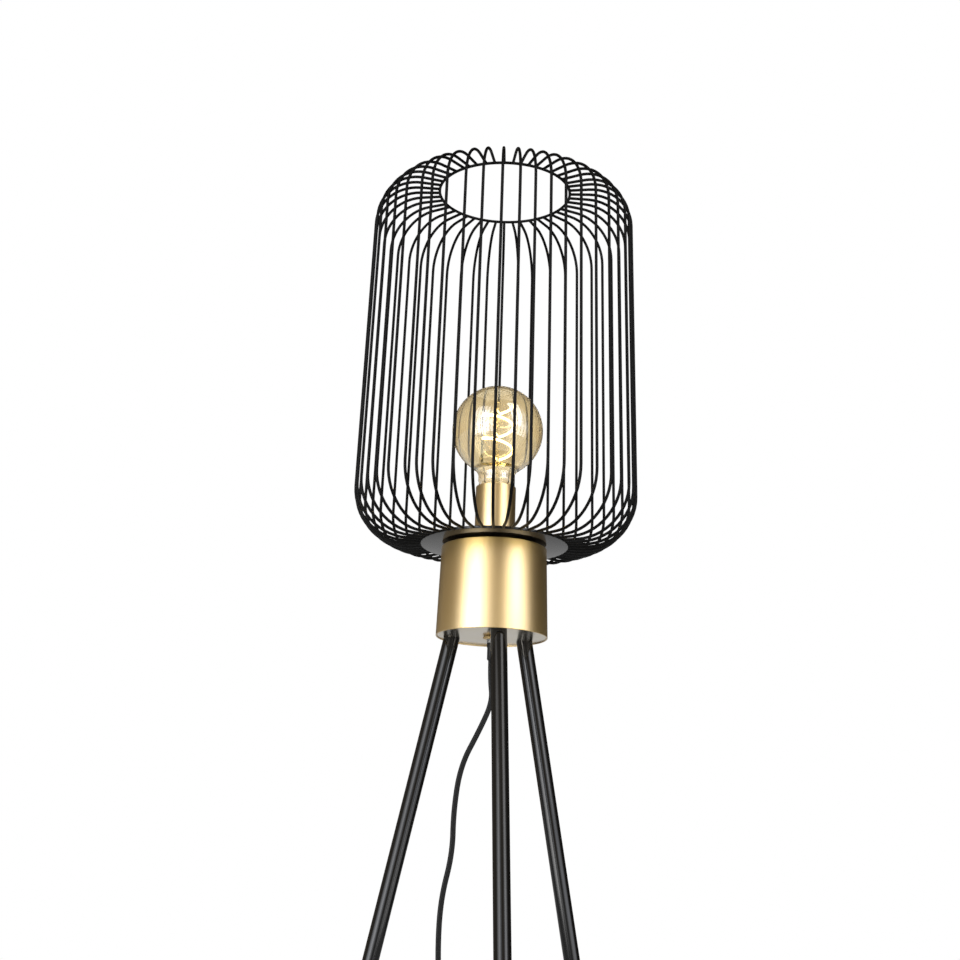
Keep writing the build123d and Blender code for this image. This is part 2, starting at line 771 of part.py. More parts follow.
# The cord inside the grip, the tube and the holder
with BuildPart() as cord_inner:
    with BuildSketch(Plane.XY.offset(grip_low)):
        Rectangle(cord_width, cord_thickness)
    extrude(amount=pocket_z - slip - grip_low)
pieces["cord_inner"] = cord_inner

# How close the coil comes to itself, measured on points along its centre line
coil_wire = coil_path.wire()
coil_length = coil_wire.length
samples = ceil(coil_length / 2)
spots = [coil_wire @ (i / samples) for i in range(samples + 1)]
apart = ceil(4 * cord_width / (coil_length / samples))
least = min((p - q).length for i, p in enumerate(spots) for q in spots[i + apart :])
print("cord_coil length", round(coil_length), "least gap to itself", round(least - cord_width, 2))

os.makedirs("parts", exist_ok=True)
for label, piece in pieces.items():
    piece.part.label = label
    export_step(piece.part, "parts/" + label + ".step")
print(len(pieces), "nodes")
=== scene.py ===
import bmesh
import bpy
from math import acos, atan, cos, exp, pi, radians, sin, sqrt, tan
from mathutils import Matrix, Vector


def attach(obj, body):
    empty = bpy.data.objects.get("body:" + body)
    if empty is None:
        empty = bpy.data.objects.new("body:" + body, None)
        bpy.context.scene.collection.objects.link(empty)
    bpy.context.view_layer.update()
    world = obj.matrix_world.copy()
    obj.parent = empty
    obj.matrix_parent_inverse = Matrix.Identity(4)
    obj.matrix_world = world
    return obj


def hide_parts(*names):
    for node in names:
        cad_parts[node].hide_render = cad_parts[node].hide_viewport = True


# Floor lamp: a cage of bent wires on a brass drum, three splayed legs, a globe bulb and a flat cord.
# Lengths are in millimetres, and mm turns them into Blender's metres.

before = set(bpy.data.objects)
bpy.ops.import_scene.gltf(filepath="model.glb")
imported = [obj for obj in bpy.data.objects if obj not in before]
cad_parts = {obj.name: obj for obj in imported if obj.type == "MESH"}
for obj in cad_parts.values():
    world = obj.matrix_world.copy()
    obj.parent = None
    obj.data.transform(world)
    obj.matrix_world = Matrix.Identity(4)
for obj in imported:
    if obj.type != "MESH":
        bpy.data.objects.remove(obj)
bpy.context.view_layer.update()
scene = bpy.context.scene
mm = 0.001

# Levels up the lamp's axis
drum_low, drum_top = 985.0, 1080.6
base_low, base_top = 985.8, 988.8
plate_low, plate_top = 1083.6, 1086.6
sleeve_top, sleeve_floor = 1148.6, 1088.1
holder_foot, pocket_foot, holder_top = 1091.1, 1117.1, 1144.1
ring_level, wire_foot_level = 1498.3, 1085.1
tip_level, cap_foot, cap_top = 1120.8, 1123.0, 1147.8
globe_level, stem_top = 1212.9, 1246.3
tube_foot, tube_top, grip_foot = 978.8, 1100.1, 960.8

# Sizes
wire = 3.2
wire_lap = 1.5  # how far the foot of a wire reaches over the plate
wire_count = 48
first_wire = -86.0  # degrees
wire_shifts = (  # degrees that each wire stands off its even place, counter-clockwise
    (-0.3, -1.0, -1.7, -1.6, -0.9, 0.3, 0.4, 0.9, 0, 0, 0, 0)
    + (0, 0, 0, -0.4, -0.5, 1.0, 0.1, 0.5, 2.3, 1.6, 1.7, 1.7)
    + (1.1, -0.1, -0.3, -0.1, -0.2, -0.1, 1.0, 0, 0, 0, 0, 0)
    + (0, 0, 0, 0, 0.2, 1.8, -0.2, -0.5, 0.4, 0.3, 0.8, 0.7)
)
ring_radius = 74.3
plate_radius = 79.0
weld_radius, weld_squash = 1.9, (0.9, 1.05, 0.83)
cage_low_radius, cage_top_radius = 152.0, 143.7
cage_low_bend, cage_top_bend = 55.5, 48.0
hole_radius = 5.1
tube_bore, tube_radius, tube_root = 4.0, 5.0, 4.6
drum_low_radius, drum_top_radius, drum_wall = 58.9, 56.1, 1.5
base_radius = drum_low_radius - drum_wall - 0.1
sleeve_radius, sleeve_wall = 21.6, 1.2
holder_radius, holder_bore = 19.5, 14.2
shell_radius, shell_wall, shell_swell = 13.9, 0.3, 0.14
nut_flats, nut_half = 16.0, 1.5  # across its flats, and half its thickness
filament_radius, filament_foot, filament_rise, filament_turns = 16.6, 1183.8, 60.2, 2.25
support_radius, support_start, support_end, support_bend, support_hook = 0.4, 1.6, 14.6, 1.1, 0.8
thread_pitch, thread_radius, thread_swell, thread_wall = 3.63, 12.7, 0.4, 0.3
globe_radius, neck_radius, mouth_radius, glass_wall = 49.5, 19.5, 11.9, 1.0
neck_foot = cap_top + 5.8
leg_radius, leg_top_radius, leg_foot, splay = 8.5, 45.5, 3.0, radians(13.05)
foot_radius = leg_top_radius + drum_low * tan(splay)
foot_wall, foot_height, foot_pocket, foot_slip = 2.0, 24.0, 19.0, 0.1
foot_grooves, foot_groove_width, foot_groove_depth = (9, 12.5, 16), 1.6, 0.5
leg_turns = {"leg_front": -90, "leg_right": 30, "leg_left": 150}
cord_width, cord_thickness = 5.6, 3.6
slot_half_width, slot_half = 2.9, 1.9
relief_length, relief_half_width, relief_half, relief_taper = 22.0, 5.0, 3.5, 0.7
relief_grooves, relief_groove_width, relief_groove_depth = (3.5, 6.5, 9.5, 12.5, 15.5, 18.5), 1.8, 0.7
switch_x, switch_y, switch_parting, switch_top = 52.0, 150.0, 8.0, 21.0
switch_half, switch_half_width, switch_corner, switch_wall = 35.0, 18.0, 9.0, 2.0
window_half, window_half_width, window_corner = 14.3, 10.3, 1.6
pad_half, pad_half_width, pad_corner = 16.0, 12.0, 3.4
pad_low, pad_step, pad_top, pad_dish_radius, pad_dish = 16.7, 18.7, 26.0, 60.0, 0.9
plug_root, plug_face, plug_y, plug_z, plug_half_width = 49.4, 15.4, 31.3, 7.0, 13.5
plug_taper, plug_tail_share = 13.0, (1, 10 / 27, 0.8)
plug_cuts, plug_first_cut, plug_cut_pitch, plug_cut_width, plug_cut_depth = 4, 5.0, 3.6, 1.4, 0.8
pin_spread, pin_sleeve = 9.3, 9.8

# Camera
lens = bpy.data.cameras.new("camera")
lens.sensor_width = 36
lens.lens = 57.12
camera = bpy.data.objects.new("camera", lens)
scene.collection.objects.link(camera)
heading = Matrix.Rotation(radians(-8.425), 4, "Z")
pitch = Matrix.Rotation(radians(90 + 15.983), 4, "X")
roll = Matrix.Rotation(radians(1.88), 4, "Z")
camera.matrix_world = Matrix.Translation((-0.2496, -1.5653, 0.7028)) @ heading @ pitch @ roll
scene.camera = camera


class Number:
    """A shader socket that takes part in sums."""

    def __init__(self, finish, socket):
        self.finish, self.socket = finish, socket

    def sum(self, operation, first, second):
        return self.finish.node("ShaderNodeMath", {"operation": operation}, {0: first, 1: second})

    def __add__(self, other):
        return self.sum("ADD", self, other)

    def __radd__(self, other):
        return self.sum("ADD", other, self)

    def __rsub__(self, other):
        return self.sum("SUBTRACT", other, self)

    def __mul__(self, other):
        return self.sum("MULTIPLY", self, other)

    def __rmul__(self, other):
        return self.sum("MULTIPLY", other, self)

    def __pow__(self, other):
        return self.sum("POWER", self, other)


class Finish:
    """A node tree that is written as calls and sums."""

    def __init__(self, owner):
        owner.use_nodes = True
        self.owner, self.tree = owner, owner.node_tree

    def node(self, kind, settings=None, sockets=None, output=0):
        """Adds a node and gives one of its outputs."""
        made = self.tree.nodes.new(kind)
        for key, value in (settings or {}).items():
            setattr(made, key, value)
        self.feed(made, sockets or {})
        return Number(self, made.outputs[output])

    def feed(self, made, sockets):
        """Links or sets a node's inputs."""
        for key, value in sockets.items():
            if isinstance(value, Number):
                self.tree.links.new(value.socket, made.inputs[key])
            else:
                made.inputs[key].default_value = value

    def shader(self, sockets):
        """Sets the principled shader's sockets."""
        self.feed(self.tree.nodes["Principled BSDF"], sockets)

    def place(self, stretch=(1, 1, 1)):
        """Object coordinates, stretched along the axes."""
        spot = self.node("ShaderNodeTexCoord", output="Object")
        return self.node("ShaderNodeMapping", {}, {"Vector": spot, "Scale": stretch})

    def noise(self, place, scale, detail=2.0):
        return self.node("ShaderNodeTexNoise", {}, {"Vector": place, "Scale": scale, "Detail": detail})

    def tint(self, share, dark, light, blend="MIX"):
        """A colour between two, by share, or one blended with the other."""
        dark, light = (tone if isinstance(tone, Number) else (*tone, 1) for tone in (dark, light))
        return self.node(
            "ShaderNodeMix",
            {"data_type": "RGBA", "blend_type": blend},
            {0: share, 6: dark, 7: light},
            output=2,
        )

    def vector_sum(self, operation, first, second=(0, 0, 0), output="Vector"):
        """A sum of vectors, or their product, length and so on."""
        return self.node("ShaderNodeVectorMath", {"operation": operation}, {0: first, 1: second}, output)

    def height(self, place):
        """A vector's Z."""
        return self.node("ShaderNodeSeparateXYZ", {}, {0: place}, output="Z")

    def bump(self, height, strength, depth):
        return self.node(
            "ShaderNodeBump", {}, {"Height": height, "Strength": strength, "Distance": depth * mm}
        )


def between(finish, value, low, high):
    """A value's share of the way from low to high."""
    return finish.node("ShaderNodeMapRange", {}, {"Value": value, "From Min": low, "From Max": high})


def finish_named(name):
    return Finish(bpy.data.materials.new(name))


def black_paint(name, dark, light, roughness, gloss, peel_depth):
    """Powder coat: a fine orange peel and a slightly uneven sheen."""
    coat = finish_named(name)
    place = coat.place()
    peel = coat.noise(place, 1500, 3)
    patches = coat.noise(place, 25)
    coat.shader({
        "Base Color": coat.tint(patches, (dark, dark, dark), (light, light, light)),
        "Roughness": roughness + 0.06 * patches + 0.04 * peel,
        "Normal": coat.bump(peel, peel_depth, 0.1),
        "Specular IOR Level": gloss,
    })
    return coat.owner


def turned_metal(name, dark, light, roughness, lines, lacquer=0.0, spread=0.0, flat=False):
    """Brass with fine lathe lines: rings up a side, or circles on a flat face.

    Spread draws the shine out along the axis.
    """
    metal = finish_named(name)
    place = metal.place()
    if flat:
        level = metal.vector_sum("LENGTH", metal.vector_sum("MULTIPLY", place, (1, 1, 0)), output="Value")
    else:
        level = metal.height(place)
    grooves = metal.node(
        "ShaderNodeTexNoise", {"noise_dimensions": "1D"}, {"W": level, "Scale": 3500, "Detail": 3}
    )
    clouds = metal.noise(place, 30, 3)
    metal.shader({
        "Metallic": 1.0,
        "Base Color": metal.tint(clouds, dark, light),
        "Roughness": roughness + 0.07 * clouds + 0.05 * grooves,
        "Normal": metal.bump(grooves, lines, 0.03),
        "Anisotropic": spread,
        "Anisotropic Rotation": 0.25,
        "Coat Weight": lacquer,
        "Coat IOR": 2.3,
        "Coat Roughness": 0.32,
    })
    return metal.owner


def plated_metal(name, dark, light, roughness):
    """Zinc or nickel plating: cloudy, with fine scratches."""
    metal = finish_named(name)
    clouds = metal.noise(metal.place(), 160, 4)
    scratches = metal.noise(metal.place((1, 1, 14)), 700)
    metal.shader({
        "Metallic": 1.0,
        "Base Color": metal.tint(clouds, dark, light),
        "Roughness": roughness + 0.14 * clouds + 0.06 * scratches,
        "Normal": metal.bump(scratches, 0.1, 0.05),
    })
    return metal.owner


def grained(name, dark, light, roughness, grain, depth):
    """Matte moulded plastic or rubber with a fine grain."""
    stuff = finish_named(name)
    pores = stuff.noise(stuff.place(), grain, 3)
    clouds = stuff.noise(stuff.place(), 60)
    stuff.shader({
        "Base Color": stuff.tint(0.6 * clouds + 0.4 * pores, dark, light),
        "Roughness": roughness + 0.12 * clouds,
        "Normal": stuff.bump(pores, 0.25, depth),
        "Specular IOR Level": 0.2,
    })
    return stuff.owner


def woven(name):
    """Hook-and-loop tape: a tight weave under a short nap."""
    tape = finish_named(name)
    weft = tape.node("ShaderNodeTexWave", {"bands_direction": "Y"}, {"Vector": tape.place(), "Scale": 520})
    warp = tape.node("ShaderNodeTexWave", {"bands_direction": "Z"}, {"Vector": tape.place(), "Scale": 520})
    nap = tape.noise(tape.place(), 2600, 3)
    cloth = 0.35 * weft + 0.35 * warp + 0.3 * nap
    tape.shader({
        "Base Color": tape.tint(cloth, (0.008, 0.008, 0.009), (0.035, 0.035, 0.037)),
        "Roughness": 0.95,
        "Normal": tape.bump(cloth, 0.6, 0.2),
        "Sheen Weight": 0.2,
    })
    return tape.owner


def glass(name, dark, light, clear_below=0.0, lustre=0.0):
    """Tinted glass with faint ripples; the tint thins out round a level, and a painted shade darkens the
    rim.
    """
    clear = finish_named(name)
    ripples = clear.noise(clear.place(), 45)
    tinted = between(clear, clear.height(clear.place()), (clear_below - 8) * mm, (clear_below + 14) * mm)
    # Painted shade: the colour darkens towards the rim as the surface turns away from the view, standing in
    # for the longer path through the tinted glass there and the dark surroundings that the edge mirrors.
    edge = clear.node("ShaderNodeLayerWeight", {}, {"Blend": 0.5}, output="Facing")
    rim = clear.tint(edge**3, (1, 1, 1), (0.6, 0.53, 0.38))
    body = clear.tint(1.0, clear.tint(ripples, dark, light), rim, "MULTIPLY")
    clear.shader({
        "Transmission Weight": 1.0,
        "IOR": 1.46,
        "Base Color": clear.tint(tinted, (0.9, 0.86, 0.74), body),
        "Roughness": 0.004 + 0.008 * ripples,
        "Normal": clear.bump(ripples, 0.002, 0.4),
        "Coat Weight": lustre,
        "Coat IOR": 1.8,
        "Coat Roughness": 0.02,
    })
    return clear.owner


def phosphor():
    """The lit filament: a silicone ribbon with phosphor grains over its row of chips."""
    ribbon = finish_named("phosphor")
    grains = ribbon.noise(ribbon.place(), 1800, 3)
    ribbon.shader({
        "Base Color": ribbon.tint(grains, (0.85, 0.55, 0.12), (0.95, 0.72, 0.25)),
        "Roughness": 0.6,
        "Emission Color": ribbon.tint(grains, (1.0, 0.68, 0.28), (1.0, 0.84, 0.5)),
        "Emission Strength": 8.0,
        "Normal": ribbon.bump(grains, 0.3, 0.1),
    })
    return ribbon.owner


leg_paint = black_paint("leg_paint", 0.004, 0.008, 0.07, 0.36, 0.012)
cage_paint = black_paint("cage_paint", 0.002, 0.004, 0.36, 0.08, 0.05)
satin_brass = turned_metal("satin_brass", (0.73, 0.48, 0.12), (0.8, 0.55, 0.16), 0.42, 0.1, 1.0, 0.8)
polished_brass = turned_metal("polished_brass", (0.8, 0.72, 0.58), (0.86, 0.8, 0.68), 0.14, 0.05, flat=True)
zinc = plated_metal("zinc", (0.36, 0.36, 0.37), (0.56, 0.56, 0.56), 0.3)
nickel = plated_metal("nickel", (0.6, 0.58, 0.55), (0.74, 0.73, 0.71), 0.16)
plastic = grained("black_plastic", (0.012, 0.012, 0.012), (0.026, 0.026, 0.027), 0.42, 1700, 0.12)
rubber = grained("foot_rubber", (0.01, 0.01, 0.01), (0.03, 0.03, 0.03), 0.68, 900, 0.2)
sheath = grained("cord_sheath", (0.005, 0.005, 0.005), (0.012, 0.012, 0.012), 0.45, 2400, 0.06)
tape = woven("tie_tape")
amber_glass = glass("amber_glass", (0.82, 0.76, 0.58), (0.86, 0.81, 0.64), 1162, 1.0)
stem_glass = glass("stem_glass", (0.9, 0.82, 0.6), (0.94, 0.88, 0.7))
black_glass = grained("black_glass", (0.008, 0.008, 0.009), (0.02, 0.02, 0.022), 0.1, 500, 0.05)
lit_ribbon = phosphor()


def rest():
    """Object mode with nothing selected, where every piece starts."""
    if bpy.context.object and bpy.context.object.mode != "OBJECT":
        bpy.ops.object.mode_set(mode="OBJECT")
    bpy.ops.object.select_all(action="DESELECT")


def shape():
    """Edit mode, in which points are selected."""
    bpy.ops.object.mode_set(mode="EDIT")
    bpy.ops.mesh.select_mode(type="VERT")


def select_all():
    """Selects all of the piece that is being edited."""
    bpy.ops.mesh.select_all(action="SELECT")


def middle(item):
    """A vertex's place, or the middle of an edge or a face, in millimetres."""
    corners = [item.co] if hasattr(item, "co") else [corner.co for corner in item.verts]
    return sum(corners, Vector()) / len(corners) / mm


def pick(part, test):
    """Selects the vertices, edges or faces that pass a test, in edit mode."""
    bpy.ops.mesh.select_mode(type={"verts": "VERT", "edges": "EDGE", "faces": "FACE"}[part])
    bpy.ops.mesh.select_all(action="DESELECT")
    drawn = bmesh.from_edit_mesh(bpy.context.object.data)
    for item in getattr(drawn, part):
        if test(item):
            item.select_set(True)
    drawn.select_flush_mode()
    bmesh.update_edit_mesh(bpy.context.object.data)


def close_up():
    """Merges doubles, turns every face outwards and leaves edit mode."""
    select_all()
    bpy.ops.mesh.remove_doubles(threshold=1e-7)
    bpy.ops.mesh.normals_make_consistent(inside=False)
    drawn = bmesh.from_edit_mesh(bpy.context.object.data)
    closed = not any(edge.is_boundary for edge in drawn.edges)
    if closed and drawn.calc_volume(signed=True) < 0:
        bpy.ops.mesh.flip_normals()
    bpy.ops.object.mode_set(mode="OBJECT")


def cap_ends():
    """Closes the open ends of the piece that is being edited, and then the piece."""
    select_all()
    bpy.ops.mesh.fill_holes(sides=0)
    close_up()


def pull(way):
    """Extrudes what is selected along a way in millimetres."""
    bpy.ops.mesh.extrude_region_move(TRANSFORM_OT_translate={"value": [step * mm for step in way]})


def squeeze(factors, centre):
    """Scales what is selected about a point in millimetres."""
    bpy.ops.transform.resize(value=factors, center_override=[step * mm for step in centre])


def draw(outline):
    """A line through (radius, height) points, drawn by extruding one point; it stays in edit mode."""
    rest()
    bpy.ops.mesh.primitive_plane_add(size=mm)
    shape()
    bpy.ops.mesh.merge(type="CENTER")
    radius, height = outline[0]
    bpy.ops.transform.translate(value=(radius * mm, 0, height * mm))
    for (radius, height), (next_radius, next_height) in zip(outline, outline[1:]):
        pull((next_radius - radius, 0, next_height - height))
    select_all()
    bpy.ops.mesh.remove_doubles(threshold=1e-7)


def turn(outline, steps=96):
    """A turned piece: its outline, as (radius, height), is spun round Z."""
    draw(outline)
    bpy.ops.mesh.spin(steps=steps, angle=2 * pi, center=(0, 0, 0), axis=(0, 0, 1))
    close_up()
    return bpy.context.object


def groove(start, way, places, width, depth):
    """Grooves round the piece that is being edited, at places along a way from a start."""
    for place in places:
        for edge in (-0.5, -0.3, 0.3, 0.5):
            select_all()
            bpy.ops.mesh.bisect(plane_co=(start + way * (place + edge * width)) * mm, plane_no=way)
    pick("faces", lambda face: any(
        abs((middle(face) - start).dot(way) - place) < 0.1 * width for place in places
    ))
    bpy.ops.transform.shrink_fatten(value=-depth * mm)


def modify(kind, **settings):
    """Adds a modifier to the active piece and applies it."""
    bpy.ops.object.modifier_add(type=kind)
    added = bpy.context.object.modifiers[-1]
    for key, value in settings.items():
        setattr(added, key, value)
    bpy.ops.object.modifier_apply(modifier=added.name)


def soften(width, segments=3, angle=35):
    """Rounds the sharp edges of the active piece."""
    modify(
        "BEVEL",
        width=width * mm,
        segments=segments,
        limit_method="ANGLE",
        angle_limit=radians(angle),
        use_clamp_overlap=True,
    )


def cut(cutter, operation="DIFFERENCE"):
    """Takes a cutter out of the active piece, or keeps what both share; the cutter is then gone."""
    modify("BOOLEAN", operation=operation, object=cutter, solver="EXACT")
    bpy.data.objects.remove(cutter)


def take(piece):
    """Makes one piece the active one."""
    rest()
    piece.select_set(True)
    bpy.context.view_layer.objects.active = piece


def joined(pieces):
    """Several pieces as one."""
    take(pieces[0])
    for piece in pieces[1:]:
        piece.select_set(True)
    bpy.ops.object.join()
    return bpy.context.object


def copied(piece):
    """A copy with its own mesh."""
    take(piece)
    bpy.ops.object.duplicate(linked=False)
    return bpy.context.object


def settle_here():
    """Writes the active piece's place and size into its mesh."""
    bpy.ops.object.transform_apply(location=True, rotation=True, scale=True)
    return bpy.context.object


def settle(spot=(0, 0, 0), turned=(0, 0, 0)):
    """Puts the active piece somewhere and writes that place into its mesh."""
    bpy.context.object.location = Vector(spot) * mm
    bpy.context.object.rotation_euler = turned
    return settle_here()


def copies_round(blank, azimuths):
    """Copies of a piece, turned round Z by degrees; the piece itself goes."""
    copies = []
    for azimuth in azimuths:
        copied(blank)
        copies.append(settle(turned=(0, 0, radians(azimuth))))
    bpy.data.objects.remove(blank)
    return copies


def ring_of_points(count, radius, spot, turned=(0, 0, 0)):
    """A ring of points to pull or spin, selected in edit mode."""
    rest()
    bpy.ops.mesh.primitive_circle_add(
        vertices=count, radius=radius * mm, location=Vector(spot) * mm, rotation=turned
    )
    settle_here()
    shape()
    select_all()


def hand_in(name, nodes, finish, body="lamp", smooth=35):
    """Names the active piece, gives it its finish and sets it in the frame."""
    piece = settle_here()
    piece.name = piece.data.name = name
    bpy.ops.object.shade_smooth_by_angle(angle=radians(smooth))
    if not piece.data.materials:
        piece.data.materials.append(finish)
    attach(piece, body)
    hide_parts(*nodes)
    return piece


def block(low, high, corner=0, segments=6):
    """A box between two corners, with its upright edges rounded."""
    low, high = Vector(low), Vector(high)
    rest()
    bpy.ops.mesh.primitive_cube_add(size=1, location=(low + high) / 2 * mm, scale=(high - low) * mm)
    piece = settle_here()
    if corner:
        shape()
        pick("edges", lambda edge: abs((edge.verts[0].co - edge.verts[1].co).normalized().z) > 0.99)
        bpy.ops.mesh.bevel(offset=corner * mm, segments=segments, affect="EDGES")
        bpy.ops.object.mode_set(mode="OBJECT")
    return piece


# Cords: flat twin flex on smooth splines
section_line = bpy.data.curves.new("cord_section", "CURVE")
section_line.dimensions = "2D"
rim = section_line.splines.new("POLY")
section_points, waist_depth, waist_width = 28, 0.16, 0.8
rim.points.add(section_points - 1)
core = cord_thickness / 2
for number, point in enumerate(rim.points):
    around = -2 * pi * (number + 0.5) / section_points  # clockwise, so that the sheath faces outwards
    side = (cord_width / 2 - core) * (1 if cos(around) > 0 else -1)
    across = core * cos(around) + side
    waist = 1 - waist_depth * exp(-((across / waist_width) ** 2))
    point.co = (across * mm, core * sin(around) * waist * mm, 0, 1)
rim.use_cyclic_u = True
cord_section = bpy.data.objects.new("cord_section", section_line)
scene.collection.objects.link(cord_section)
cord_section.hide_render = cord_section.hide_viewport = True


def flat_cord(name, route, tilt, twist):
    """A cord on one open spline, with the route's points as its control points; tilt is in degrees."""
    line = bpy.data.curves.new(name, "CURVE")
    line.dimensions = "3D"
    line.resolution_u = 8
    line.twist_mode = twist
    spline = line.splines.new("NURBS")
    spline.points.add(len(route) - 1)
    for point, spot in zip(spline.points, route):
        point.co = (*[step * mm for step in spot], 1)
        point.tilt = radians(tilt)
    spline.order_u = 3
    spline.use_endpoint_u = True
    line.bevel_mode = "OBJECT"
    line.bevel_object = cord_section
    line.use_fill_caps = True
    line.materials.append(sheath)
    made = bpy.data.objects.new(name, line)
    scene.collection.objects.link(made)
    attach(made, "lamp")
    return made


drop_route = [
    (0, 0, grip_foot), (0, 0, 941), (3, -0.5, 918), (-9.4, 1.5, 888), (-27.6, 4.4, 851),
    (-33.1, 5.3, 805), (-32.6, 5.2, 763), (-42.5, 6.8, 719), (-43.9, 7, 673), (-40.5, 6.5, 621),
    (-38.5, 8, 565), (-42, 10.5, 508), (-50, 12.5, 451), (-56, 12, 394), (-57, 10, 337),
    (-54, 9.5, 280), (-54.5, 11, 225), (-59, 13.5, 174), (-63, 15, 132), (-64.5, 15.5, 97),
    (-65, 17, 66), (-65.5, 29, 38.5), (-66.5, 50.5, 17.5), (-67, 78, 5.2), (-65, 107, 2.8),
    (-61, 128, 2.8), (-48, 144, 4.2), (-26, switch_y, switch_parting),
    (switch_x - switch_half - relief_length, switch_y, switch_parting),
]
cord_drop = flat_cord("cord_to_switch", drop_route, 0, "MINIMUM")
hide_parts("cord_drop")

coil_x, coil_y = 132.0, 62.0
coil_inner, coil_pitch, coil_turns, coil_reversal = 24.5, 6.2, 2.25, 1.25
coil_steps = 20  # points a turn
coil_level = 3.7  # the cord's middle in the lower layer
outside = 1.012  # control points lie a little outside the curve that they draw
coil_route = []
for step in range(int(coil_steps * coil_turns) + 1):
    turns = step / coil_steps
    away = abs(turns - coil_reversal)
    if away < 0.25:
        away = 2 * away**2 + 0.125
    climb = min(max((turns - coil_reversal) / 0.5 + 0.5, 0), 1)
    across = (coil_inner + coil_pitch * away) * outside
    coil_route.append((
        coil_x + across * cos(-2 * pi * turns),
        coil_y + across * sin(-2 * pi * turns),
        coil_level + coil_pitch * climb**2 * (3 - 2 * climb),
    ))
link_route = [
    (switch_x + switch_half + relief_length, switch_y, switch_parting), (127, switch_y, switch_parting),
    (146, 144.5, 5.6), (159, 130, 4.2), (163, 110, 3.8),
    (164.25, 87.2, coil_level), (164.25, 67.6, coil_level),
]
tail_route = [
    (121, plug_y, 9.9), (104, plug_y, 8.6), (92, plug_y, 7.5), (80, plug_y, plug_z),
    (plug_root + relief_length, plug_y, plug_z),
]
cord_spare = flat_cord("cord_to_plug", link_route + coil_route + tail_route, 90, "Z_UP")
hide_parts("cord_link", "cord_coil")

# Cage: one wire, drawn as a ring of points that is pulled and bent, and its copies round the axis
lean = (cage_low_radius - cage_top_radius) / (ring_level - wire_foot_level)
top_turn, low_turn = pi / 2 - atan(lean), pi / 2 + atan(lean)
top_reach, low_reach = cage_top_bend * tan(top_turn / 2), cage_low_bend * tan(low_turn / 2)
side_length = (ring_level - wire_foot_level) * sqrt(1 + lean**2) - top_reach - low_reach
side_way = Vector((lean, 0, -1)).normalized()

ring_of_points(12, wire / 2, (ring_radius, 0, ring_level), (0, pi / 2, 0))
pull((cage_top_radius - top_reach - ring_radius, 0, 0))
top_centre = Vector((cage_top_radius - top_reach, 0, ring_level - cage_top_bend))
bpy.ops.mesh.spin(steps=14, angle=top_turn, center=top_centre * mm, axis=(0, -1, 0))
pull(side_way * side_length)
low_centre = Vector((cage_low_radius - low_reach, 0, wire_foot_level + cage_low_bend))
bpy.ops.mesh.spin(steps=14, angle=low_turn, center=low_centre * mm, axis=(0, -1, 0))
pull((plate_radius - wire_lap - (cage_low_radius - low_reach), 0, 0))
select_all()
bpy.ops.mesh.fill_holes(sides=0)
for weld in ((ring_radius + 1.7, 0, ring_level), (plate_radius + 0.4, 0, wire_foot_level)):
    bpy.ops.mesh.primitive_uv_sphere_add(
        segments=10, ring_count=6, radius=weld_radius * mm, location=Vector(weld) * mm
    )
    squeeze(weld_squash, weld)
select_all()
bpy.ops.mesh.normals_make_consistent(inside=False)
bpy.ops.object.mode_set(mode="OBJECT")
joined(copies_round(bpy.context.object, [
    first_wire + 360 * number / wire_count + shift for number, shift in enumerate(wire_shifts)
]))
hand_in("cage_wires", ["shade_wires"], cage_paint, smooth=50)

# Top ring of the same wire
ring_of_points(16, wire / 2, (ring_radius, 0, ring_level), (pi / 2, 0, 0))
bpy.ops.mesh.spin(steps=144, angle=2 * pi, center=(0, 0, 0), axis=(0, 0, 1))
close_up()
hand_in("cage_top_ring", ["shade_top_ring"], cage_paint, smooth=60)

# Shade plate
turn([
    (hole_radius, plate_low), (plate_radius, plate_low), (plate_radius, plate_top),
    (hole_radius, plate_top), (hole_radius, plate_low),
], 144)
soften(0.6)
hand_in("cage_plate", ["shade_plate"], leg_paint)

# Drum and its base plate
turn([
    (drum_low_radius, drum_low), (drum_top_radius, drum_top), (hole_radius, drum_top),
    (hole_radius, drum_top - drum_wall), (drum_top_radius - drum_wall, drum_top - drum_wall),
    (drum_top_radius - drum_wall, base_top), (drum_low_radius - drum_wall, base_top),
    (drum_low_radius - drum_wall, drum_low), (drum_low_radius, drum_low),
], 144)
soften(0.6)
hand_in("drum", ["drum_shell"], satin_brass)

turn([
    (hole_radius, base_low), (base_radius, base_low), (base_radius, base_top),
    (hole_radius, base_top), (hole_radius, base_low),
], 144)
soften(0.4)
hand_in("drum_base", ["drum_base_plate"], polished_brass)

# Legs
leg_middle = Vector(((leg_top_radius + foot_radius) / 2, 0, drum_low / 2))
rest()
bpy.ops.mesh.primitive_cylinder_add(
    vertices=48, radius=leg_radius * mm, depth=1.1, location=leg_middle * mm, rotation=(0, -splay, 0)
)
settle_here()
shape()
for level, facing in ((base_low, (0, 0, 1)), (leg_foot, (0, 0, -1))):
    select_all()
    bpy.ops.mesh.bisect(plane_co=(0, 0, level * mm), plane_no=facing, use_fill=True, clear_outer=True)
close_up()
soften(0.35, 2)
for name, leg in zip(leg_turns, copies_round(bpy.context.object, leg_turns.values())):
    take(leg)
    hand_in(name + "_tube", [name], leg_paint)

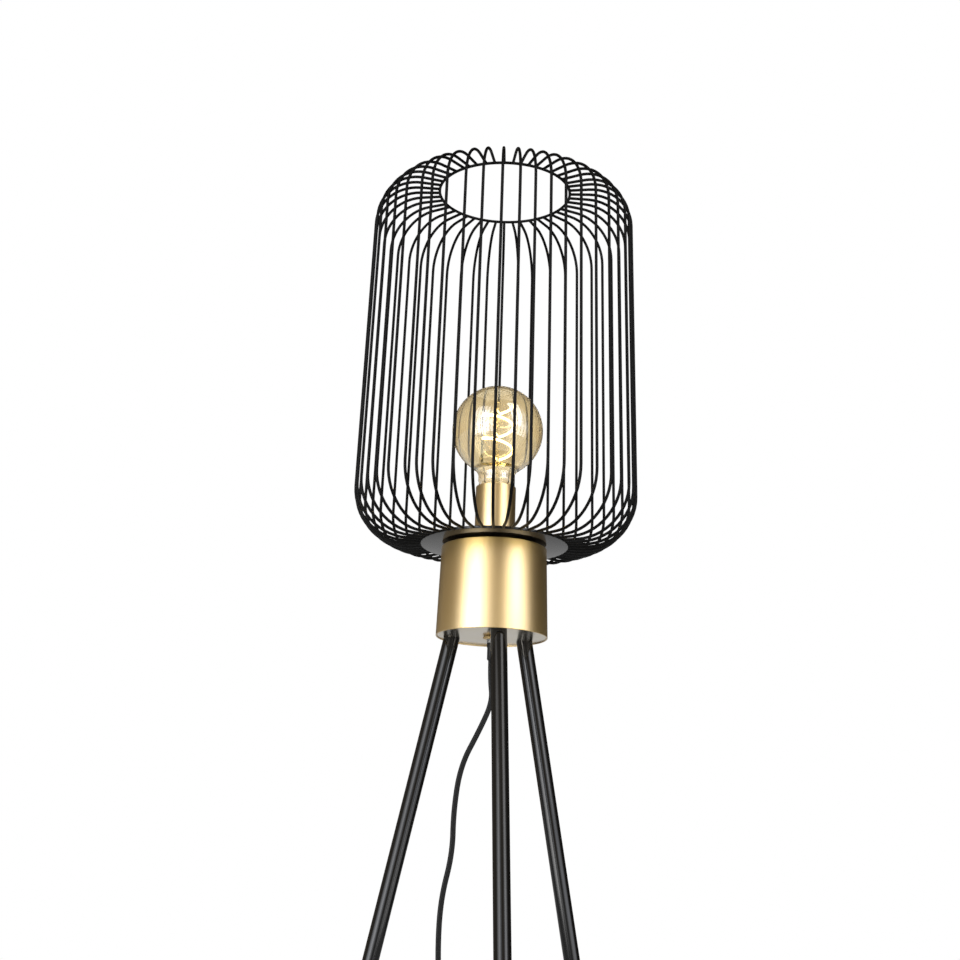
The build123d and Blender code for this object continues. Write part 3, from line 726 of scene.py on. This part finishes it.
# Rubber feet
leg_way = Vector((-sin(splay), 0, cos(splay)))
rest()
bpy.ops.mesh.primitive_cylinder_add(
    vertices=48, radius=(leg_radius + foot_wall) * mm, depth=2 * foot_height * mm,
    location=(foot_radius * mm, 0, 0), rotation=(0, -splay, 0),
)
settle_here()
shape()
select_all()
bpy.ops.mesh.bisect(plane_co=(0, 0, 0), plane_no=(0, 0, -1), use_fill=True, clear_outer=True)
foot_spot = Vector((foot_radius, 0, 0))
groove(foot_spot, leg_way, foot_grooves, foot_groove_width, foot_groove_depth)
pick("faces", lambda face: (middle(face) - foot_spot).dot(leg_way) > foot_height - 0.1)
bpy.ops.mesh.inset(thickness=(foot_wall - foot_slip) * mm)
pull(leg_way * -foot_pocket)
close_up()
soften(0.6, 3)
joined(copies_round(bpy.context.object, leg_turns.values()))
hand_in("feet", ["foot_caps"], rubber)

# Holder sleeve
turn([
    (hole_radius, plate_top), (sleeve_radius, plate_top), (sleeve_radius, sleeve_top),
    (sleeve_radius - sleeve_wall, sleeve_top), (sleeve_radius - sleeve_wall, sleeve_floor),
    (hole_radius, sleeve_floor), (hole_radius, plate_top),
], 96)
soften(0.5)
hand_in("holder_cup", ["holder_sleeve"], satin_brass)

# Bulb glass: a globe, opened below and drawn down into a neck and a collar
throat = globe_level - globe_radius * sin(acos(neck_radius / globe_radius))
rest()
bpy.ops.mesh.primitive_uv_sphere_add(
    segments=96, ring_count=64, radius=globe_radius * mm, location=(0, 0, globe_level * mm)
)
settle_here()
shape()
select_all()
bpy.ops.mesh.bisect(plane_co=(0, 0, throat * mm), plane_no=(0, 0, -1), clear_outer=True)
for next_radius, next_level, radius, level in (
    (neck_radius, neck_foot, neck_radius, throat),
    (mouth_radius, cap_top, neck_radius, neck_foot),
    (mouth_radius, cap_top - 5, mouth_radius, cap_top),
):
    pick("edges", lambda edge: edge.is_boundary)
    pull((0, 0, next_level - level))
    squeeze((next_radius / radius, next_radius / radius, 1), (0, 0, next_level))
pick("edges", lambda edge: all(abs(corner.co.z - throat * mm) < 1e-5 for corner in edge.verts))
bpy.ops.mesh.bevel(offset=7 * mm, segments=10, affect="EDGES")
pick("edges", lambda edge: abs(middle(edge).z - neck_foot) < 0.01)
bpy.ops.mesh.bevel(offset=3 * mm, segments=5, affect="EDGES")
close_up()
modify("SOLIDIFY", thickness=glass_wall * mm, offset=-1)
hand_in("globe", ["bulb_glass"], amber_glass, "bulb", smooth=60)

# Screw cap: one pitch of the thread, swept up a screw line between a rolled foot and a plain collar
wave = []
for step in range(9):
    wave.append((thread_radius + thread_swell * cos(pi * step / 4), cap_foot - 1 + thread_pitch * step / 8))
draw(wave)
bpy.ops.object.mode_set(mode="OBJECT")
modify("SCREW", screw_offset=thread_pitch * mm, iterations=5, steps=48, render_steps=48)
shape()
for level, facing in ((cap_foot + 3, (0, 0, -1)), (cap_foot + 16.6, (0, 0, 1))):
    select_all()
    bpy.ops.mesh.bisect(plane_co=(0, 0, level * mm), plane_no=facing, clear_outer=True)
close_up()
modify("SOLIDIFY", thickness=thread_wall * mm, offset=-1)
thread = bpy.context.object
collar = turn([
    (11.98, cap_top), (12.6, cap_top), (12.9, cap_top - 0.5), (12.9, cap_top - 6), (13.1, cap_top - 6.6),
    (13.1, cap_top - 8), (12.3, cap_top - 8.6), (11.98, cap_top - 8.2), (11.98, cap_top),
], 72)
foot_roll = turn([
    (12.1, cap_foot + 3.3), (12.75, cap_foot + 3.2), (12.6, cap_foot + 1.6), (11.6, cap_foot + 0.5),
    (10.7, cap_foot + 0.7), (10.9, cap_foot + 1.4), (11.9, cap_foot + 2.2), (12.1, cap_foot + 3.3),
], 72)
joined([thread, collar, foot_roll])
hand_in("bulb_screw_cap", ["bulb_cap"], nickel, "bulb", smooth=60)

turn([
    (0, cap_foot), (4.6, cap_foot), (6, cap_foot + 0.3), (10.4, cap_foot + 1.5), (11.5, cap_foot + 3),
    (11.5, cap_foot + 6.3), (0, cap_foot + 6.3),
], 48)
soften(0.3)
hand_in("bulb_black_glass", ["bulb_insulator"], black_glass, "bulb")

turn([
    (0, tip_level), (1.6, tip_level + 0.1), (3, tip_level + 0.5), (4, tip_level + 1.1),
    (4.5, tip_level + 1.8), (4.5, cap_foot), (0, cap_foot),
], 48)
hand_in("bulb_tip_button", ["bulb_contact_tip"], nickel, "bulb_tip", smooth=50)

# Stem, lit ribbon and its two supports
turn([
    (0, cap_top - 5), (10.6, cap_top - 5), (10.8, cap_top - 4.5), (9.4, cap_top - 3.8), (7, cap_top - 2.6),
    (5.6, cap_top + 1.5), (4.3, cap_top + 6.5), (3, cap_top + 11.5), (2.3, cap_top + 15),
    (2.1, cap_top + 18), (2.1, stem_top - 1.6), (1.8, stem_top - 0.7), (1.1, stem_top - 0.15),
    (0, stem_top),
], 48)
hand_in("bulb_stem_glass", ["bulb_stem"], stem_glass, "bulb", smooth=60)

ribbon_side = [
    (-0.6, -1.1), (-0.5, -1.35), (-0.2, -1.5), (0.2, -1.5), (0.5, -1.35), (0.6, -1.1),
    (0.6, 1.1), (0.5, 1.35), (0.2, 1.5), (-0.2, 1.5), (-0.5, 1.35), (-0.6, 1.1),
]
draw([(filament_radius + x, filament_foot + z) for x, z in ribbon_side + ribbon_side[:1]])
bpy.ops.object.mode_set(mode="OBJECT")
modify(
    "SCREW",
    angle=-2 * pi * filament_turns,
    screw_offset=filament_rise * mm,
    iterations=1,
    steps=180,
    render_steps=180,
)
ribbon_turn = 2 * pi * filament_turns
settle(turned=(0, 0, ribbon_turn))
shape()
cap_ends()
hand_in("bulb_ribbon", ["bulb_filament"], lit_ribbon, "bulb", smooth=50)

supports = []
for level, hook, azimuth in ((filament_foot, 1, ribbon_turn), (filament_foot + filament_rise, -1, 0)):
    ring_of_points(12, support_radius, (support_start, 0, level), (0, pi / 2, 0))
    pull((support_end - support_start, 0, 0))
    bend = Vector((support_end, 0, level + hook * support_bend))
    bpy.ops.mesh.spin(steps=6, angle=pi / 2, center=bend * mm, axis=(0, -hook, 0))
    pull((0, 0, hook * support_hook))
    cap_ends()
    supports.append(settle(turned=(0, 0, azimuth)))
joined(supports)
hand_in("ribbon_supports", ["filament_supports"], nickel, "bulb", smooth=60)

# Lamp holder inside the cup: moulded body and threaded shell; the contact strip is the CAD piece
turn([
    (hole_radius, holder_foot), (holder_radius, holder_foot), (holder_radius, holder_top),
    (holder_bore, holder_top), (holder_bore, pocket_foot), (hole_radius, pocket_foot),
    (hole_radius, holder_foot),
], 72)
soften(0.8)
hand_in("holder_moulding", ["holder_body"], plastic)

outer_wave, inner_wave = [], []
for step in range(43):
    swell, level = shell_swell * cos(2 * pi * step / 8), pocket_foot + 0.3 + thread_pitch * step / 8
    outer_wave.append((shell_radius + swell, level))
    inner_wave.append((shell_radius - shell_wall + swell, level))
turn(outer_wave + inner_wave[::-1] + outer_wave[:1], 72)
hand_in("holder_shell", ["holder_thread_shell"], nickel, smooth=60)

# Tie tube with a thread on its lower end, its chamfered nuts and the cord grip
tube_side = [(tube_bore, tube_foot), (tube_root, tube_foot)]
for ridge in range(4):
    tube_side += [(tube_radius, tube_foot + ridge + 0.5), (tube_root, tube_foot + ridge + 1)]
tube_side += [
    (tube_radius, tube_foot + 4.4), (tube_radius, tube_top), (tube_bore, tube_top), (tube_bore, tube_foot),
]
turn(tube_side, 48)
hand_in("tube", ["tie_tube"], zinc, smooth=25)

rest()
bpy.ops.mesh.primitive_cylinder_add(
    vertices=6, radius=nut_flats / sqrt(3) * mm, depth=2 * nut_half * mm, rotation=(0, 0, pi / 6)
)
hexagon = settle_here()
nut_blank = turn([
    (hole_radius, -nut_half), (7.5, -nut_half), (9.4, -0.5), (9.4, 0.5), (7.5, nut_half),
    (hole_radius, nut_half), (hole_radius, -nut_half),
], 72)
cut(hexagon, "INTERSECT")
soften(0.15, 2, 25)
nuts = []
for level in (base_low - nut_half, drum_top + nut_half, sleeve_floor + nut_half):
    copied(nut_blank)
    nuts.append(settle((0, 0, level)))
bpy.data.objects.remove(nut_blank)
joined(nuts)
hand_in("nuts", ["tie_nuts"], satin_brass, smooth=25)

grip = turn([
    (0, grip_foot), (3.5, grip_foot), (4.2, grip_foot + 1.1), (4.2, tube_foot - 4.6),
    (4.7, tube_foot - 4.1), (4.7, tube_foot), (3.9, tube_foot), (3.9, tube_foot + 6), (0, tube_foot + 6),
], 64)
cord_slot = block(
    (-slot_half_width, -slot_half, grip_foot - 4), (slot_half_width, slot_half, tube_foot + 10)
)
take(grip)
cut(cord_slot)
soften(0.2, 2)
hand_in("grip", ["cord_grip"], plastic)

# Cord inside the tube: a ring of points, parted into two cores and pulled up
ring_of_points(section_points, core, (0, 0, grip_foot))
parting = cord_width / 2 - core
for side in (-1, 1):
    pick("verts", lambda corner: corner.co.x * side > 1e-5)
    bpy.ops.transform.translate(value=(side * parting * mm, 0, 0))
pick("verts", lambda corner: abs(corner.co.x) < 1e-5)
squeeze((1, 1 - waist_depth, 1), (0, 0, grip_foot))
select_all()
pull((0, 0, pocket_foot - 0.1 - grip_foot))
cap_ends()
hand_in("cord_in_tube", ["cord_inner"], sheath)


def switch_block(half, half_width, low, high, corner, segments):
    """A box on the switch's middle, with its upright edges rounded."""
    return block(
        (switch_x - half, switch_y - half_width, low), (switch_x + half, switch_y + half_width, high),
        corner, segments,
    )


def relief():
    """A ribbed strain relief from its root at the origin along +X, tapering to the cord."""
    piece = block((0, -relief_half_width, -relief_half), (relief_length, relief_half_width, relief_half))
    shape()
    pick("verts", lambda corner: corner.co.x > (relief_length - 1) * mm)
    squeeze((1, relief_taper, 1), (relief_length, 0, 0))
    groove(Vector(), Vector((1, 0, 0)), relief_grooves, relief_groove_width, relief_groove_depth)
    close_up()
    soften(0.5, 2, 30)
    return piece


# Foot switch: base, hollow cover with a window, push pad and two reliefs
switch_block(switch_half, switch_half_width, 0, switch_parting, switch_corner, 8)
shape()
pick("faces", lambda face: face.normal.z < -0.9)
bpy.ops.mesh.inset(thickness=3 * mm)
pull((0, 0, 0.6))
close_up()
soften(0.6, 3)
switch_foot = hand_in("switch_foot", ["switch_base"], plastic)

cover = switch_block(switch_half, switch_half_width, switch_parting, switch_top, switch_corner, 8)
shape()
pick("edges", lambda edge: abs(middle(edge).z - switch_top) < 0.01)
bpy.ops.mesh.bevel(offset=3 * mm, segments=6, affect="EDGES")
bpy.ops.object.mode_set(mode="OBJECT")
hollow = switch_block(
    switch_half - switch_wall, switch_half_width - switch_wall,
    switch_parting - 2, switch_top - switch_wall, switch_corner - switch_wall, 6,
)
take(cover)
cut(hollow)
window = switch_block(window_half, window_half_width, 14, 25, window_corner, 4)
take(cover)
cut(window)
soften(0.35, 2)
switch_lid = hand_in("switch_lid", ["switch_cover"], plastic)

switch_block(pad_half, pad_half_width, pad_low, pad_step, pad_corner, 5)
shape()
pick("faces", lambda face: face.normal.z > 0.9)
bpy.ops.mesh.inset(thickness=2 * mm)
pull((0, 0, pad_top - pad_step))
pick("edges", lambda edge: abs(middle(edge).z - pad_top) < 0.01)
bpy.ops.mesh.bevel(offset=0.9 * mm, segments=4, affect="EDGES")
close_up()
pad = bpy.context.object
rest()
bpy.ops.mesh.primitive_cylinder_add(
    vertices=192, radius=pad_dish_radius * mm, depth=40 * mm, rotation=(pi / 2, 0, 0),
    location=Vector((switch_x, switch_y, pad_top - pad_dish + pad_dish_radius)) * mm,
)
dish = settle_here()
take(pad)
cut(dish)
soften(0.2, 2, 40)
push_pad = hand_in("push_pad", ["switch_button"], plastic, "switch_button")

for name, side, turned in (("switch_inlet", -1, pi), ("switch_outlet", 1, 0)):
    relief()
    settle((switch_x + side * switch_half, switch_y, switch_parting), (0, 0, turned))
    hand_in(name, ["switch_reliefs"], plastic)

# Plug: a flat body that narrows to its relief, with gripping cuts in its flanks, and two sleeved pins
plug = block((plug_face, plug_y - plug_half_width, 0), (plug_root, plug_y + plug_half_width, 2 * plug_z))
shape()
select_all()
bpy.ops.mesh.bisect(plane_co=((plug_root - plug_taper) * mm, 0, 0), plane_no=(1, 0, 0))
pick("verts", lambda corner: corner.co.x > (plug_root - 1) * mm)
squeeze(plug_tail_share, (plug_root, plug_y, plug_z))
close_up()
soften(2.2, 5, 20)
for number in range(plug_cuts):
    for side in (-1, 1):
        start = plug_face + plug_first_cut + plug_cut_pitch * number
        edge = plug_y + side * plug_half_width
        flank = block(
            (start, edge - plug_cut_depth, plug_z - 4),
            (start + plug_cut_width, edge + plug_cut_depth, plug_z + 4), 0.3, 2,
        )
        take(plug)
        cut(flank)
plug_neck = relief()
settle((plug_root, plug_y, plug_z))
joined([plug, plug_neck])
plug_moulding = hand_in("plug_moulding", ["plug_body"], plastic)

pins = []
for side in (-1, 1):
    turn([
        (0, 0), (1.95, 0), (1.95, 9.6), (1.75, 10), (2, 10.3), (2, 17.4), (1.7, 18.4), (1, 18.9), (0, 19),
    ], 32)
    pin = settle((plug_face, plug_y + side * pin_spread, plug_z), (0, -pi / 2, 0))
    pin.data.materials.append(nickel)
    pin.data.materials.append(plastic)
    for face in pin.data.polygons:
        face.material_index = 1 if face.center.x > (plug_face - pin_sleeve) * mm else 0
    pins.append(pin)
joined(pins)
plug_prongs = hand_in("plug_prongs", ["plug_pins"], nickel)

# Tie round the coil: a strap with rounded corners and its end lapped over
tie_x, tie_low, tie_high = 104.4, 0.0, 13.8
tie_half, tie_half_width, tie_wall, tie_lap = 5.95, 3.0, 0.8, 0.25
strap = block((-tie_half + tie_lap, tie_low, -tie_half_width), (tie_half, tie_high, tie_half_width), 2.4, 5)
opening = block(
    (-tie_half + tie_wall, tie_low + tie_wall, -tie_half_width - 1),
    (tie_half - tie_wall, tie_high - tie_wall, tie_half_width + 1), 1.7, 5,
)
take(strap)
cut(opening)
soften(0.15, 2)
lap = block((-tie_half, 3.2, -2.8), (-5.4, 9.6, 2.8))
soften(0.2, 2)
joined([strap, lap])
settle((tie_x, coil_y, 0), (pi / 2, 0, 0))
coil_strap = hand_in("coil_strap", ["coil_tie"], tape)

# Pieces that stay as they are in the CAD: inside the drum and the holder
for name in ("leg_studs", "leg_bushes", "holder_contact"):
    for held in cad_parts[name].material_slots:
        held.material = zinc


# Stage: a pale floor that runs out into white, soft lamps and a white background
def white_rays(finish):
    """One for rays that the camera sends, straight or through glass, and nought for others."""
    straight = finish.node("ShaderNodeLightPath", output="Is Camera Ray")
    through = finish.node("ShaderNodeLightPath", output="Is Transmission Ray")
    return straight.sum("MAXIMUM", straight, through)


room_level = 0.2  # light that comes from all round
floor_level, floor_fall = 0.5, 0.4  # the floor as shiny pieces mirror it, darker by the fall on the right
back_wall, front_wall, left_wall = 0.04, 0.36, 0.2  # the walls as shiny pieces mirror them
left_panel_level, right_panel_level = 1.9, 1.8
floor_radius, fade_start, fade_end = 4.0, 0.9, 1.9  # metres
floor_finish = finish_named("floor")
specks = floor_finish.noise(floor_finish.place(), 40, 4)
floor_finish.shader({
    "Base Color": floor_finish.tint(specks, (0.84, 0.84, 0.83), (0.88, 0.88, 0.87)), "Roughness": 0.7,
})
away = floor_finish.vector_sum("LENGTH", floor_finish.place(), output="Value")
mirrored = floor_finish.node("ShaderNodeLightPath", output="Is Glossy Ray")
white = white_rays(floor_finish)
plain = mirrored * floor_level + (1 - mirrored) * room_level
glow = floor_finish.node("ShaderNodeEmission", {}, {"Strength": white + (1 - white) * plain})
painted = Number(floor_finish, floor_finish.tree.nodes["Principled BSDF"].outputs[0])
faded = between(floor_finish, away, fade_start, fade_end)
sweep = floor_finish.node("ShaderNodeMixShader", {}, {0: faded, 1: painted, 2: glow})
floor_finish.feed(floor_finish.tree.nodes["Material Output"], {"Surface": sweep})
rest()
bpy.ops.mesh.primitive_circle_add(vertices=96, radius=floor_radius, fill_type="NGON")
floor = bpy.context.object
floor.name = "floor"
floor.data.materials.append(floor_finish.owner)

world = bpy.data.worlds.new("studio")
scene.world = world
sky = Finish(world)
way = sky.node("ShaderNodeTexCoord", output="Generated")
height = sky.height(way)


def towards(ray, *direction):
    """How far a ray goes a certain way, from -1 to 1."""
    return sky.vector_sum("DOT_PRODUCT", ray, direction, "Value")


front, left = towards(way, -0.157, -0.988, 0), towards(way, -0.988, 0.157, 0)
right = towards(way, 0.988, -0.157, 0)
level_way = sky.vector_sum("NORMALIZE", sky.vector_sum("MULTIPLY", way, (1, 1, 0)))
left_panel = between(sky, towards(level_way, -0.732, -0.682, 0), 0.79, 0.97)
right_panel = between(sky, towards(level_way, 0.682, -0.732, 0), 0.84, 0.99)
tall = between(sky, height, 0.8, 0.5) * between(sky, height, -0.5, -0.3)
tall = tall * (1 + between(sky, height, 0.24, 0.1))
low = between(sky, height, 0.02, -0.04)
walls = back_wall + front_wall * between(sky, front, -0.1, 0.7) + left_wall * between(sky, left, 0.3, 0.9)
mirrored = sky.node("ShaderNodeLightPath", output="Is Glossy Ray")
reflected = low * (floor_level - floor_fall * between(sky, right, 0.3, 0.8)) + (1 - low) * walls
panels = tall * (left_panel_level * left_panel + right_panel_level * right_panel)
plain = mirrored * (reflected + panels) + (1 - mirrored) * room_level
white = white_rays(sky)
shade = sky.tint(between(sky, panels, 0, 1.2), (1.1, 0.94, 0.76), (0.96, 0.99, 1.06))
shade = sky.tint(mirrored * (1 - low), (1, 1, 1), shade)
sky.feed(world.node_tree.nodes["Background"], {"Color": shade, "Strength": white + (1 - white) * plain})


def softbox(name, spot, aim, size, power, mirrored=True):
    """A rectangular lamp that faces a point; shiny pieces may mirror it or not."""
    lamp = bpy.data.lights.new(name, "AREA")
    lamp.shape = "RECTANGLE"
    lamp.size, lamp.size_y = size
    lamp.energy = power
    holder = bpy.data.objects.new(name, lamp)
    scene.collection.objects.link(holder)
    holder.location = spot
    holder.rotation_euler = (Vector(aim) - Vector(spot)).to_track_quat("-Z", "Y").to_euler()
    holder.visible_camera = False
    holder.visible_glossy = mirrored


softbox("lamp_left", (-1.71, -1.38, 1.95), (0, 0, 1.95), (1.6, 3.2), 20)
softbox("lamp_left_core", (-1.6, -1.55, 1.45), (0, 0, 1.35), (0.75, 2.6), 13.5)
softbox("lamp_right", (1.33, -1.55, 2.42), (0, 0, 1.15), (1.06, 2.45), 26)
softbox("lamp_above", (0, 0.3, 3.6), (0, 0, 1.0), (2.2, 2.2), 30, mirrored=False)
scene.view_settings.view_transform = "Standard"
